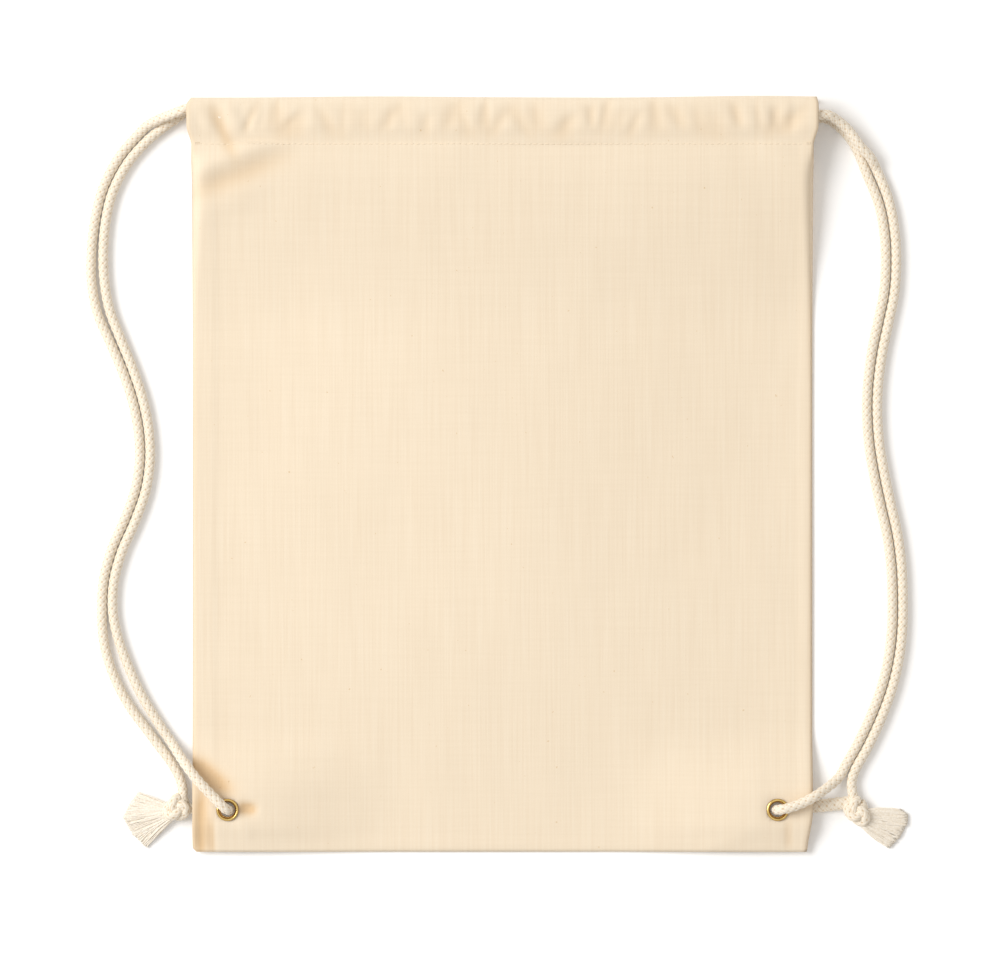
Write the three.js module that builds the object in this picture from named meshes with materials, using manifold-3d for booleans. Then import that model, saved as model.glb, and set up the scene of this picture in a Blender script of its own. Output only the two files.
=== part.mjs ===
// Drawstring backpack of cotton canvas, lying flat on its back with its cords spread at both sides.
// Millimetres. X across the bag, +Y towards its mouth, +Z up; the origin is under the middle of the bag.
import * as THREE from 'three';
import { mergeVertices } from 'three/addons/utils/BufferGeometryUtils.js';
import Module from 'manifold-3d';

// ---------- Driving dimensions ----------
const BAG_WIDTH = 370;
const BAG_HEIGHT = 450;
const CLOTH = 0.6;
const GAP = 0.3;
const CORD_DIAMETER = 6;
const CORD_END_GAP = 0.4;

const CHANNEL_DEPTH = 28;
const CHANNEL_THICK = 8;
const MOUTH_GAP = 5;
const CHANNEL_FLARE = 3;
const LOOP_NOTCH = 23;

const SEAM_WIDTH = 8;
const SEAM_THICK = 0.8;
const CORNER_TAPER = 2.8;
const BODY_DEPTH = 6.2;
const EDGE_DEPTH = 1.4;

const EYELET_X = 164;
const EYELET_Y = -199.6;
const EYELET_HOLE_RADIUS = 4.75;
const EYELET_BARREL_RADIUS = 5.2;
const EYELET_FLANGE_RADIUS = 6.6;
const EYELET_METAL = 0.8;

const KNOT_HALF_THICK = 5;
const TASSEL_THICK = 4.4;
const STITCH_WIDTH = 0.8;
const STITCH_THICK = 0.4;

// ---------- Heights and edges worked out from them ----------
const HALF_WIDTH = BAG_WIDTH / 2;
const TOP = BAG_HEIGHT / 2;
const BOTTOM = -BAG_HEIGHT / 2;
const STITCH_LINE = TOP - CHANNEL_DEPTH;
const MOUTH_X = HALF_WIDTH + CHANNEL_FLARE;
const BACK_RUN_Z = CHANNEL_THICK / 2;
const FRONT_RUN_Z = CHANNEL_THICK * 1.5 + MOUTH_GAP;
const CORD_RADIUS = CORD_DIAMETER / 2;
const FLOOR_Z = CORD_RADIUS + 0.2;
const CORNER_LIFT = FLOOR_Z + CORD_RADIUS + GAP + EYELET_METAL + GAP;
const EYELET_BOTTOM = FLOOR_Z + CORD_RADIUS + GAP;
const EYELET_TOP = CORNER_LIFT + 2 * CLOTH + EDGE_DEPTH + GAP + EYELET_METAL;
const OVER_EYELET_Z = EYELET_TOP + CORD_RADIUS + 0.7;

const wasm = await Module();
wasm.setup();

// ---------- Materials ----------
const canvas = () => new THREE.MeshStandardMaterial({ color: 0xf3e3ca, roughness: 0.95, metalness: 0 });
const cotton = () => new THREE.MeshStandardMaterial({ color: 0xf6ecd8, roughness: 0.95, metalness: 0 });
const thread = () => new THREE.MeshStandardMaterial({ color: 0xf7efe0, roughness: 0.8, metalness: 0 });
const brass = () => new THREE.MeshStandardMaterial({ color: 0xd9b45a, roughness: 0.22, metalness: 1 });

const bag = new THREE.Group();

function add(name, geometry, material) {
  const mesh = new THREE.Mesh(geometry, material);
  mesh.name = name;
  bag.add(mesh);
  return mesh;
}

// ---------- Booleans ----------
function toSolid(geometry) {
  const bare = geometry.clone();
  bare.deleteAttribute('normal');
  bare.deleteAttribute('uv');
  const merged = mergeVertices(bare, 1e-4);
  return new wasm.Manifold(new wasm.Mesh({
    numProp: 3,
    vertProperties: new Float32Array(merged.attributes.position.array),
    triVerts: new Uint32Array(merged.index.array),
  }));
}

function toGeometry(solid) {
  const mesh = solid.getMesh();
  const geometry = new THREE.BufferGeometry();
  geometry.setAttribute('position', new THREE.BufferAttribute(mesh.vertProperties, 3));
  geometry.setIndex(new THREE.BufferAttribute(mesh.triVerts, 1));
  geometry.computeVertexNormals();
  return geometry;
}

function cut(geometry, tools) {
  let solid = toSolid(geometry);
  for (const tool of tools) solid = solid.subtract(toSolid(tool));
  return toGeometry(solid);
}

// ---------- The cloth's shape ----------
// 0 before `from`, 1 after `to`, smooth between; `from` may be the larger.
function ease(value, from, to) {
  const t = THREE.MathUtils.clamp((value - from) / (to - from), 0, 1);
  return t * t * (3 - 2 * t);
}

// Underside of the back panel: flat on the ground, lifted over the cord at each bottom corner,
// and rising to the middle of its channel at the stitch line.
function backUnder(x, y) {
  const drop = 1 - 0.6 * ease(y, -207, BOTTOM);
  const corner = CORNER_LIFT * drop * ease(Math.abs(x), 104, 152) * ease(y, -160, -190);
  const channel = (BACK_RUN_Z - CLOTH / 2) * ease(y, 168, 188);
  return Math.max(corner, channel);
}

// Underside of the front panel: close to the back panel at the edges, a little puffed inside,
// and rising to the middle of the front channel.
function frontUnder(x, y) {
  const puff = ease(Math.abs(x), 152, 112) * ease(y, -200, -150);
  const closed = backUnder(x, y) + CLOTH + EDGE_DEPTH + (BODY_DEPTH - EDGE_DEPTH) * puff;
  return THREE.MathUtils.lerp(closed, FRONT_RUN_Z - CLOTH / 2, ease(y, 95, 188));
}

const acrossHalf = [0, 60, 104, 112, 120, 128, 136, 144, 152, 177, HALF_WIDTH];
const ACROSS = [...acrossHalf.slice(1).reverse().map((x) => -x), ...acrossHalf];
const ALONG = [
  BOTTOM, -219, -213, -207, -200, -190, -183, -176, -168, -160, -150, -75, 0, 95,
  112, 128, 144, 156, 168, 178, 188, STITCH_LINE - GAP,
];

// A sheet between two heights over a grid of lines; the bag narrows a little at its bottom right corner.
function sheet(xs, ys, under, over) {
  const geometry = new THREE.BoxGeometry(1, 1, 1, xs.length - 1, ys.length - 1, 1);
  const place = geometry.attributes.position;
  for (let i = 0; i < place.count; i += 1) {
    const x = xs[Math.round((place.getX(i) + 0.5) * (xs.length - 1))];
    const y = ys[Math.round((place.getY(i) + 0.5) * (ys.length - 1))];
    const height = place.getZ(i) > 0 ? over(x, y) : under(x, y);
    const narrowed = x - CORNER_TAPER * ease(y, -200, BOTTOM) * Math.max(x / HALF_WIDTH, 0);
    place.setXYZ(i, narrowed, y, height);
  }
  return geometry;
}

function eyeletHole(side) {
  const hole = new THREE.CylinderGeometry(EYELET_BARREL_RADIUS + 0.4, EYELET_BARREL_RADIUS + 0.4, 30, 20);
  hole.rotateX(Math.PI / 2);
  hole.translate(side * EYELET_X, EYELET_Y, CORNER_LIFT);
  return hole;
}

function panels() {
  const back = sheet(ACROSS, ALONG, backUnder, (x, y) => backUnder(x, y) + CLOTH);
  const front = sheet(ACROSS, ALONG, frontUnder, (x, y) => frontUnder(x, y) + CLOTH);
  add('back_panel', cut(back, [eyeletHole(-1), eyeletHole(1)]), canvas());
  add('front_panel', cut(front, [eyeletHole(-1), eyeletHole(1)]), canvas());
}

// The allowances of the side and bottom seams, turned in between the two panels.
function seams() {
  const under = (x, y) => backUnder(x, y) + CLOTH + GAP;
  const over = (x, y) => under(x, y) + SEAM_THICK;
  const inner = HALF_WIDTH - SEAM_WIDTH;
  const outer = HALF_WIDTH - 0.5;
  const along = ALONG.filter((y) => y > -219 && y < STITCH_LINE - 1);
  add('left_side_seam', sheet([-outer, -inner], along, under, over), canvas());
  add('right_side_seam', sheet([inner, outer], along, under, over), canvas());
  const across = ACROSS.filter((x) => Math.abs(x) < HALF_WIDTH);
  add('bottom_seam', sheet(across, [BOTTOM + 0.5, -219], under, over), canvas());
}

// ---------- Channels ----------
function stadium(depth, thick) {
  const radius = thick / 2;
  const shape = new THREE.Shape();
  shape.absarc(depth / 2 - radius, 0, radius, -Math.PI / 2, Math.PI / 2, false);
  shape.absarc(-depth / 2 + radius, 0, radius, Math.PI / 2, Math.PI * 1.5, false);
  return shape;
}

// A flat sleeve along X; the wall facing the other sleeve is cut back at both ends,
// where a cord turns out of one sleeve and into the other.
function channel(name, runZ, towardsOther) {
  const ring = stadium(CHANNEL_DEPTH, CHANNEL_THICK);
  ring.holes.push(stadium(CHANNEL_DEPTH - 2 * CLOTH, CHANNEL_THICK - 2 * CLOTH));
  const sleeve = new THREE.ExtrudeGeometry(ring, { depth: 2 * MOUTH_X, bevelEnabled: false, curveSegments: 8 });
  const turn = new THREE.Matrix4().makeBasis(
    new THREE.Vector3(0, 1, 0), new THREE.Vector3(0, 0, 1), new THREE.Vector3(1, 0, 0),
  );
  sleeve.applyMatrix4(turn);
  sleeve.translate(-MOUTH_X, TOP - CHANNEL_DEPTH / 2, runZ);
  const notches = [-1, 1].map((side) => {
    const notch = new THREE.BoxGeometry(LOOP_NOTCH * 2, 17.4, CHANNEL_THICK / 2);
    notch.translate(side * MOUTH_X, TOP - 10.3, runZ + towardsOther * (CHANNEL_THICK / 2 - 1));
    return notch;
  });
  add(name, cut(sleeve, notches), canvas());
}

function channelStitching(name, panelUnder, side) {
  const row = new THREE.BoxGeometry(BAG_WIDTH - 4, STITCH_WIDTH, STITCH_THICK);
  const height = side > 0 ? panelUnder + CLOTH + GAP + STITCH_THICK / 2 : panelUnder - GAP - STITCH_THICK / 2;
  row.translate(0, STITCH_LINE - 4, height);
  add(name, row, thread());
}

// ---------- Eyelets ----------
function ring(points) {
  const profile = points.map(([r, z]) => new THREE.Vector2(r, z));
  profile.push(profile[0].clone());
  const geometry = new THREE.LatheGeometry(profile, 28);
  geometry.rotateX(Math.PI / 2);
  return geometry;
}

function eyelet(sideName, side) {
  const flangeBottom = EYELET_TOP - EYELET_METAL;
  const grommet = ring([
    [EYELET_HOLE_RADIUS, EYELET_BOTTOM],
    [EYELET_BARREL_RADIUS, EYELET_BOTTOM],
    [EYELET_BARREL_RADIUS, flangeBottom],
    [EYELET_FLANGE_RADIUS, flangeBottom],
    [EYELET_FLANGE_RADIUS - 0.3, EYELET_TOP - 0.2],
    [EYELET_FLANGE_RADIUS - 0.9, EYELET_TOP],
    [EYELET_HOLE_RADIUS + 0.3, EYELET_TOP - 0.1],
    [EYELET_HOLE_RADIUS, EYELET_TOP - 0.5],
  ]);
  const washer = ring([
    [EYELET_BARREL_RADIUS + GAP, EYELET_BOTTOM],
    [EYELET_FLANGE_RADIUS, EYELET_BOTTOM],
    [EYELET_FLANGE_RADIUS, EYELET_BOTTOM + EYELET_METAL],
    [EYELET_BARREL_RADIUS + GAP, EYELET_BOTTOM + EYELET_METAL],
  ]);
  add(`${sideName}_eyelet`, grommet, brass()).position.set(side * EYELET_X, EYELET_Y, 0);
  add(`${sideName}_eyelet_washer`, washer, brass()).position.set(side * EYELET_X, EYELET_Y, 0);
}

// ---------- Cords ----------
// A cord's sections stand at its route's own points, so a tight turn has more of them than a straight.
class CordRoute extends THREE.CatmullRomCurve3 {
  getUtoTmapping(u) {
    return u;
  }
}

function cord(name, points) {
  const route = new CordRoute(points.map((p) => new THREE.Vector3(...p)), false, 'centripetal');
  const section = new THREE.Shape();
  const sides = 10;
  for (let i = 0; i < sides; i += 1) {
    const angle = (i / sides) * Math.PI * 2;
    const x = CORD_RADIUS * Math.cos(angle);
    const y = CORD_RADIUS * Math.sin(angle);
    if (i === 0) section.moveTo(x, y);
    else section.lineTo(x, y);
  }
  section.closePath();
  add(name, new THREE.ExtrudeGeometry(section, { extrudePath: route, steps: points.length - 1 }), cotton());
}

// The route with its first or last point drawn in, to leave a gap to the next length of the same cord.
function drawIn(points, atStart, atEnd) {
  const routed = points.map((p) => new THREE.Vector3(...p));
  const last = routed.length - 1;
  if (atStart) routed[0].addScaledVector(routed[1].clone().sub(routed[0]).normalize(), CORD_END_GAP);
  if (atEnd) routed[last].addScaledVector(routed[last - 1].clone().sub(routed[last]).normalize(), CORD_END_GAP);
  return routed.map((p) => p.toArray());
}

// The two strands of a strap, from its middle line: [x, y, half the strands' spacing].
function strands(middle, side) {
  const offset = (way) => middle.map(([x, y, half], i) => {
    const before = middle[Math.max(i - 1, 0)];
    const after = middle[Math.min(i + 1, middle.length - 1)];
    const along = new THREE.Vector2(after[0] - before[0], after[1] - before[1]).normalize();
    return [x - way * side * along.y * half, y + way * side * along.x * half, FLOOR_Z];
  });
  return { outer: offset(1), inner: offset(-1) };
}

// The turn at the far end, out of the front channel and into the back one.
function returnLoop(side, laneY) {
  const radius = (FRONT_RUN_Z - BACK_RUN_Z) / 2;
  const middle = (FRONT_RUN_Z + BACK_RUN_Z) / 2;
  const points = [];
  for (let degrees = 90; degrees >= -90; degrees -= 30) {
    const angle = THREE.MathUtils.degToRad(degrees);
    points.push([side * (174.5 + radius * Math.cos(angle)), laneY, middle + radius * Math.sin(angle)]);
  }
  return points;
}

// Left cord: both ends leave the left mouths; one ends at the knot, the other goes through the eyelet.
const LEFT_LANE = 219.6;
const LEFT_STRAP = [
  [-214.6, 201.8, 3.3], [-226.5, 188, 3.2], [-235.8, 170, 3.2], [-240.2, 152, 3.3], [-242, 134, 3.6],
  [-241.7, 116, 3.9], [-238.4, 98, 3.8], [-231.6, 81, 3.4], [-224.1, 63, 3.2], [-218.1, 45, 3.2],
  [-214.5, 27, 3.2], [-213.7, 9, 3.2], [-216.3, -9, 3.2], [-222.6, -27, 3.2], [-230.4, -45, 3.2],
  [-235.2, -63, 3.2], [-236.1, -81, 3.3], [-234, -98, 4.4], [-228.3, -116, 5.1], [-219.7, -134, 4.8],
  [-207.7, -152, 3.9],
];
const LEFT_FRONT_EXIT = [
  [-212.2, 208.6, 4.4], [-205, 212.2, 8], [-197, 215, 13], [-191, 217, 16.7], [-184, 219, FRONT_RUN_Z],
];
const LEFT_BACK_EXIT = [[-184, 219.2, BACK_RUN_Z], [-190, 216.2, 3.8], [-196.5, 211.8, FLOOR_Z], [-205, 205.6, FLOOR_Z]];
const LEFT_KNOT = [-195.5, -199, 0.2 + KNOT_HALF_THICK];
const LEFT_TO_KNOT = [[-204.5, -162.8, FLOOR_Z], [-198, -171.5, FLOOR_Z], [-192.8, -181, FLOOR_Z], [-190.4, -191.4, 3.8]];
const LEFT_TO_EYELET = [
  [-198.5, -158.5, 3.6], [-192.8, -167, 7.5], [-186.5, -175.5, 13], [-180, -183.3, OVER_EYELET_Z],
  [-172.5, -191.2, OVER_EYELET_Z], [-168.2, -195.6, 15], [-164.7, -198.9, 13.6], [-163.1, -199.8, 10],
  [-164, -199.7, 6], [-168, -199.6, 3.5], [-176, -199.4, FLOOR_Z], [-186.2, -199.2, FLOOR_Z],
];

// Right cord, the other way round; its knot lies clear of the bag, at the end of the strap.
const RIGHT_LANE = 212.9;
const RIGHT_STRAP = [
  [220.5, 181, 3.2], [227.5, 163.5, 3.2], [231, 146, 3.2], [232, 128, 3.2], [230.9, 109, 3.2],
  [227.3, 91, 3.2], [223.6, 73, 3.2], [221.2, 54, 3.2], [220.7, 37, 3.2], [222, 18, 3.2],
  [225, 0, 3.2], [228.8, -18, 3.2], [232.8, -36, 3.2], [235.1, -54, 3.2], [235.9, -72, 3.2],
  [235.7, -90, 3.2], [234, -107, 3.2], [230.1, -125, 3.2], [223.7, -143, 3.2], [215.4, -161, 3.2],
  [208.2, -174, 3.2],
];
const RIGHT_FRONT_EXIT = [[206.2, 205.6, 9.9], [199, 211.6, 12.4], [193, 214.4, 16], [187, 213.9, FRONT_RUN_Z]];
const RIGHT_BACK_EXIT = [[187, 213.2, BACK_RUN_Z], [193, 212.9, 3.8], [199, 209.6, FLOOR_Z], [205.2, 203.8, FLOOR_Z]];
const RIGHT_STACK_OUTER = [[213.3, 196, 9.6], [219.5, 189.4, 7.3]];
const RIGHT_STACK_INNER = [[211.3, 195, FLOOR_Z]];
const RIGHT_KNOT = [211.4, -200.9, 0.2 + KNOT_HALF_THICK];
const RIGHT_TO_KNOT = [[209.4, -183, FLOOR_Z], [209.6, -190.8, 3.8]];
const RIGHT_TO_EYELET = [
  [200.8, -180.6, 4.4], [191.9, -187.6, 10.4], [184.8, -192, 14.6], [177.6, -195.6, OVER_EYELET_Z],
  [170.5, -198.2, OVER_EYELET_Z], [166.4, -199.1, 14.2], [163.4, -199.6, 10.6], [163.9, -199.6, 6.4],
  [167.8, -199.3, 3.5], [177, -198.4, FLOOR_Z], [190, -197, FLOOR_Z], [204.4, -196.4, FLOOR_Z],
];

function leftCord() {
  const { outer, inner } = strands(LEFT_STRAP, -1);
  const last = outer.length - 1;
  const run = [
    outer[0], ...LEFT_FRONT_EXIT, [-174, LEFT_LANE, FRONT_RUN_Z], [0, LEFT_LANE, FRONT_RUN_Z],
    ...returnLoop(1, LEFT_LANE),
    [0, LEFT_LANE, BACK_RUN_Z], [-174, LEFT_LANE, BACK_RUN_Z], ...LEFT_BACK_EXIT, inner[0],
  ];
  cord('left_cord_run', drawIn(run, true, true));
  cord('left_strap_outer', drawIn(outer, true, true));
  cord('left_strap_inner', drawIn(inner, true, true));
  cord('left_cord_to_knot', drawIn([outer[last], ...LEFT_TO_KNOT], true, false));
  cord('left_cord_to_eyelet', drawIn([inner[last], ...LEFT_TO_EYELET], true, false));
}

function rightCord() {
  const { outer, inner } = strands(RIGHT_STRAP, 1);
  const last = inner.length - 1;
  const run = [
    RIGHT_STACK_OUTER[0], ...RIGHT_FRONT_EXIT, [174, RIGHT_LANE, FRONT_RUN_Z], [0, RIGHT_LANE, FRONT_RUN_Z],
    ...returnLoop(-1, RIGHT_LANE),
    [0, RIGHT_LANE, BACK_RUN_Z], [174, RIGHT_LANE, BACK_RUN_Z], ...RIGHT_BACK_EXIT, RIGHT_STACK_INNER[0],
  ];
  cord('right_cord_run', drawIn(run, true, true));
  cord('right_strap_outer', drawIn([...RIGHT_STACK_OUTER, ...outer, ...RIGHT_TO_KNOT], true, false));
  cord('right_strap_inner', drawIn([...RIGHT_STACK_INNER, ...inner], true, true));
  cord('right_cord_to_eyelet', drawIn([inner[last], ...RIGHT_TO_EYELET], true, false));
}

function knot(name, centre, halfX, halfY) {
  const ball = add(name, new THREE.SphereGeometry(1, 16, 10), cotton());
  ball.scale.set(halfX, halfY, KNOT_HALF_THICK);
  ball.position.set(...centre);
}

// The frayed end: a flat fan of tufts around the knot's centre, pointing along `heading` degrees.
function tassel(name, centre, heading, spread, reach) {
  const neck = 9.2;
  const tufts = 5;
  const at = (radius, degrees) => {
    const angle = THREE.MathUtils.degToRad(degrees);
    return new THREE.Vector2(radius * Math.cos(angle), radius * Math.sin(angle));
  };
  const outline = [at(neck, 14), at(neck, -14)];
  for (let i = 0; i <= 2 * tufts; i += 1) {
    const radius = i % 2 === 1 ? reach : reach * 0.86;
    outline.push(at(radius, spread * (i / tufts - 1)));
  }
  const fan = new THREE.ExtrudeGeometry(new THREE.Shape(outline), { depth: TASSEL_THICK, bevelEnabled: false });
  const mesh = add(name, fan, cotton());
  mesh.position.set(centre[0], centre[1], 0.4);
  mesh.rotation.z = THREE.MathUtils.degToRad(heading);
}

panels();
seams();
channel('front_channel', FRONT_RUN_Z, -1);
channel('back_channel', BACK_RUN_Z, 1);
channelStitching('front_channel_stitching', FRONT_RUN_Z - CLOTH / 2, 1);
channelStitching('back_channel_stitching', BACK_RUN_Z - CLOTH / 2, -1);
eyelet('left', -1);
eyelet('right', 1);
leftCord();
rightCord();
knot('left_knot', LEFT_KNOT, 8.5, 7.2);
knot('right_knot', RIGHT_KNOT, 6.6, 9.2);
tassel('left_tassel', LEFT_KNOT, 194, 36, 30);
tassel('right_tassel', RIGHT_KNOT, -24, 26, 30);

export default bag;
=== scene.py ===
"""Drawstring backpack of cotton canvas, lying flat on its back with its doubled cords at its sides."""

import math
from types import SimpleNamespace

import bmesh
import bpy
import numpy as np
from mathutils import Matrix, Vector


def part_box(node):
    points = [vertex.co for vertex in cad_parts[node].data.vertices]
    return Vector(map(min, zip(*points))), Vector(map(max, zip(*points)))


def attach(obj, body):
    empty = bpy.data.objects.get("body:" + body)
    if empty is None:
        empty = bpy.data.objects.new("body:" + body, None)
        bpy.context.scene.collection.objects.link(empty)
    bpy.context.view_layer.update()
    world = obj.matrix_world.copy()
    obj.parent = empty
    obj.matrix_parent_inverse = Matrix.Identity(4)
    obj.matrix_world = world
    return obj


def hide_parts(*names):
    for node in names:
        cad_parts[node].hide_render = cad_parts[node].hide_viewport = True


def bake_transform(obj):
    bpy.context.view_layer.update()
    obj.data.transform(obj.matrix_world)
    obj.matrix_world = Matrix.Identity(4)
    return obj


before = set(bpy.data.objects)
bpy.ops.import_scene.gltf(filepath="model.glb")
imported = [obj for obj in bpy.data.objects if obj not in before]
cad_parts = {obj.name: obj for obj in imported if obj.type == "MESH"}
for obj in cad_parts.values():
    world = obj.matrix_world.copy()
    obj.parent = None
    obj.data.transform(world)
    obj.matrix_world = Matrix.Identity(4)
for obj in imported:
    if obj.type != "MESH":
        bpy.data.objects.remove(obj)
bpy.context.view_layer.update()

MM = 0.001

# ---------- Sizes taken from the frame ----------
PANEL_LOW, PANEL_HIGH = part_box("front_panel")
FRONT_LOW, FRONT_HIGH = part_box("front_channel")
BACK_LOW, BACK_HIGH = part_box("back_channel")
EYELET_LOW, EYELET_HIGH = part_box("right_eyelet")
WASHER_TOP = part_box("right_eyelet_washer")[1][2]

HALF_WIDTH = PANEL_HIGH[0]
BOTTOM = PANEL_LOW[1]
TOP = FRONT_HIGH[1]
STITCH_Y = FRONT_LOW[1]
MOUTH_X = FRONT_HIGH[0]
FRONT_RUN_Z = (FRONT_LOW[2] + FRONT_HIGH[2]) / 2
BACK_RUN_Z = (BACK_LOW[2] + BACK_HIGH[2]) / 2
EYELET_X = (EYELET_LOW[0] + EYELET_HIGH[0]) / 2
EYELET_Y = (EYELET_LOW[1] + EYELET_HIGH[1]) / 2
EYELET_RADIUS = (EYELET_HIGH[0] - EYELET_LOW[0]) / 2
CORNER_LIFT = WASHER_TOP + 0.3 * MM
OVER_EYELET_Z = EYELET_HIGH[2] + 3.7 * MM

# ---------- Sizes of the pieces ----------
CORD_DIAMETER = 6 * MM
CLOTH = 0.5 * MM
FLOOR_Z = 3.2 * MM

# Heights of a cord's middle line, in millimetres as the routes are.
FRONT_RUN_MM = FRONT_RUN_Z / MM
BACK_RUN_MM = BACK_RUN_Z / MM
FLOOR_MM = FLOOR_Z / MM
OVER_EYELET_MM = OVER_EYELET_Z / MM

# ---------- Camera ----------
LENS = 200
WIDTH_SEEN = 0.597
VIEW_MIDDLE = (-0.0015, -0.0015)
SEEN_HEIGHT = 0.005


def camera():
    """A long lens straight above the bag; it sees WIDTH_SEEN metres across at SEEN_HEIGHT."""
    data = bpy.data.cameras.new("camera")
    data.lens = LENS
    height = WIDTH_SEEN * LENS / data.sensor_width
    view = bpy.data.objects.new("camera", data)
    view.location = (*VIEW_MIDDLE, height + SEEN_HEIGHT)
    bpy.context.scene.collection.objects.link(view)
    bpy.context.scene.camera = view


# ---------- Colours ----------
WHITE = (1, 1, 1)
CANVAS_DARK = (0.838, 0.708, 0.540)
CANVAS_MIDDLE = (0.856, 0.730, 0.562)
CANVAS_LIGHT = (0.870, 0.750, 0.585)
CROSS_THREAD_TINT = (0.982, 0.980, 0.976)
SEED_FLECK = (0.86, 0.78, 0.66)
PATCH_TINT = (0.984, 0.981, 0.976)
# Painted shade, multiplied into the canvas in fold valleys, gathers and near the side edges.
CREASE_PAINTED_SHADE = (0.87, 0.735, 0.565)
# The cord's painted shade: dark in the braid's holes, tan where strands pass under each other.
CORD_HOLE_SHADE = (0.36, 0.21, 0.08)
CORD_SHADE = (0.68, 0.50, 0.30)
CORD_LIGHT = (0.91, 0.835, 0.715)
FIBRE_SHADE = (0.95, 0.935, 0.905)
PLY_SHADE = (0.84, 0.74, 0.60)
YARN_SHADE = (0.85, 0.76, 0.62)
YARN_LIGHT = (0.945, 0.88, 0.78)
THREAD_SHADE = (0.72, 0.58, 0.41)
THREAD_LIGHT = (0.87, 0.745, 0.575)
# Brass by its share of painted light: painted shade, the brass's own colour, painted highlight.
BRASS_PAINTED_SHADE = (0.26, 0.12, 0.01)
BRASS_DEEP = (0.98, 0.56, 0.09)
BRASS_PAINTED_HIGHLIGHT = (1.0, 0.80, 0.32)
BRASS_DULL = (0.78, 0.74, 0.66)
FLOOR_WHITE = (0.985, 0.985, 0.985)
FLOOR_GLOW = (0.98, 0.99, 1)
DOME_COLOR = (1, 0.965, 0.925)


# ---------- Node materials ----------
class Nodes:
    """A material's node tree, with short calls for the nodes that the materials here share."""

    def __init__(self, name, roughness, sheen=0.0, metallic=0.0):
        self.material = bpy.data.materials.new(name)
        self.material.use_nodes = True
        self.tree = self.material.node_tree
        self.shader = self.tree.nodes["Principled BSDF"]
        self.shader.inputs["Roughness"].default_value = roughness
        self.shader.inputs["Sheen Weight"].default_value = sheen
        self.shader.inputs["Metallic"].default_value = metallic
        self.normal = None

    def add(self, kind, **settings):
        """A new node with some of its settings changed."""
        node = self.tree.nodes.new(kind)
        for key, value in settings.items():
            setattr(node, key, value)
        return node

    def link(self, output, node, socket):
        """Lead an output into a node's socket."""
        self.tree.links.new(output, node.inputs[socket])

    def place(self, scale):
        """Object coordinates stretched by a scale along each axis."""
        here = self.add("ShaderNodeTexCoord")
        mapping = self.add("ShaderNodeMapping")
        mapping.inputs["Scale"].default_value = scale
        self.link(here.outputs["Object"], mapping, "Vector")
        return mapping.outputs["Vector"]

    def noise(self, scale, detail=2.0):
        """Noise with `scale` cells to the metre along each axis."""
        node = self.add("ShaderNodeTexNoise")
        node.inputs["Scale"].default_value = 1.0
        node.inputs["Detail"].default_value = detail
        node.inputs["Roughness"].default_value = 0.5
        self.link(self.place(scale), node, "Vector")
        return node.outputs["Fac"]

    def threads(self, direction, pitch):
        """Ridges of parallel threads, one each `pitch` metres."""
        node = self.add("ShaderNodeTexWave", wave_type="BANDS", bands_direction=direction)
        node.inputs["Scale"].default_value = math.pi / 10 / pitch
        node.inputs["Distortion"].default_value = 1.1
        node.inputs["Detail"].default_value = 1.0
        node.inputs["Detail Scale"].default_value = 0.35
        self.link(self.place((1, 1, 1)), node, "Vector")
        return node.outputs["Fac"]

    def attribute(self, name):
        """A number that the mesh carries at each point."""
        node = self.add("ShaderNodeAttribute", attribute_name=name)
        return node.outputs["Fac"]

    def ramp(self, value, stops):
        """A colour picked by a value, from stops of position and colour."""
        node = self.add("ShaderNodeValToRGB")
        while len(node.color_ramp.elements) < len(stops):
            node.color_ramp.elements.new(0.5)
        for element, (position, color) in zip(node.color_ramp.elements, stops):
            element.position = position
            element.color = (*color, 1)
        self.link(value, node, "Fac")
        return node.outputs["Color"]

    def multiply(self, first, *others):
        """Colours multiplied together."""
        for other in others:
            node = self.add("ShaderNodeMix", data_type="RGBA", blend_type="MULTIPLY")
            node.inputs["Factor"].default_value = 1.0
            self.tree.links.new(first, node.inputs[6])
            self.tree.links.new(other, node.inputs[7])
            first = node.outputs[2]
        return first

    def color(self, output):
        """Use an output as the surface's colour."""
        self.link(output, self.shader, "Base Color")

    def bump(self, value, distance, strength=1.0):
        """Add fine relief, on top of the relief added before."""
        node = self.add("ShaderNodeBump")
        node.inputs["Distance"].default_value = distance
        node.inputs["Strength"].default_value = strength
        self.link(value, node, "Height")
        if self.normal is not None:
            self.link(self.normal, node, "Normal")
        self.normal = node.outputs["Normal"]
        self.link(self.normal, self.shader, "Normal")


def canvas_material():
    """Unbleached plain weave: two sets of threads, thick slubs along the length, and a few seed flecks, with
    painted shade in fold valleys, in the channel's gathers and near the side edges.
    """
    n = Nodes("canvas", roughness=0.92, sheen=0.15)
    slubs = n.noise((700, 16, 16), detail=2.0)
    base = n.ramp(slubs, [(0.30, CANVAS_DARK), (0.52, CANVAS_MIDDLE), (0.75, CANVAS_LIGHT)])
    cross = n.ramp(n.noise((22, 640, 22), detail=2.0), [(0.25, CROSS_THREAD_TINT), (0.65, WHITE)])
    flecks = n.ramp(n.noise((420, 330, 330), detail=1.0), [(0.170, SEED_FLECK), (0.220, WHITE)])
    patches = n.ramp(n.noise((9, 6, 9), detail=2.0), [(0.3, PATCH_TINT), (0.7, WHITE)])
    # Painted shade in fold valleys, the channel's gathers and near the side edges.
    painted_shade_tint = n.ramp(n.attribute("painted_shade"), [(0.0, WHITE), (1.0, CREASE_PAINTED_SHADE)])
    n.color(n.multiply(base, cross, flecks, patches, painted_shade_tint))
    n.bump(n.threads("X", 0.92 * MM), 0.06 * MM, 0.40)
    n.bump(n.threads("Y", 1.02 * MM), 0.06 * MM, 0.30)
    n.bump(slubs, 0.12 * MM, 0.4)
    return n.material


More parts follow.
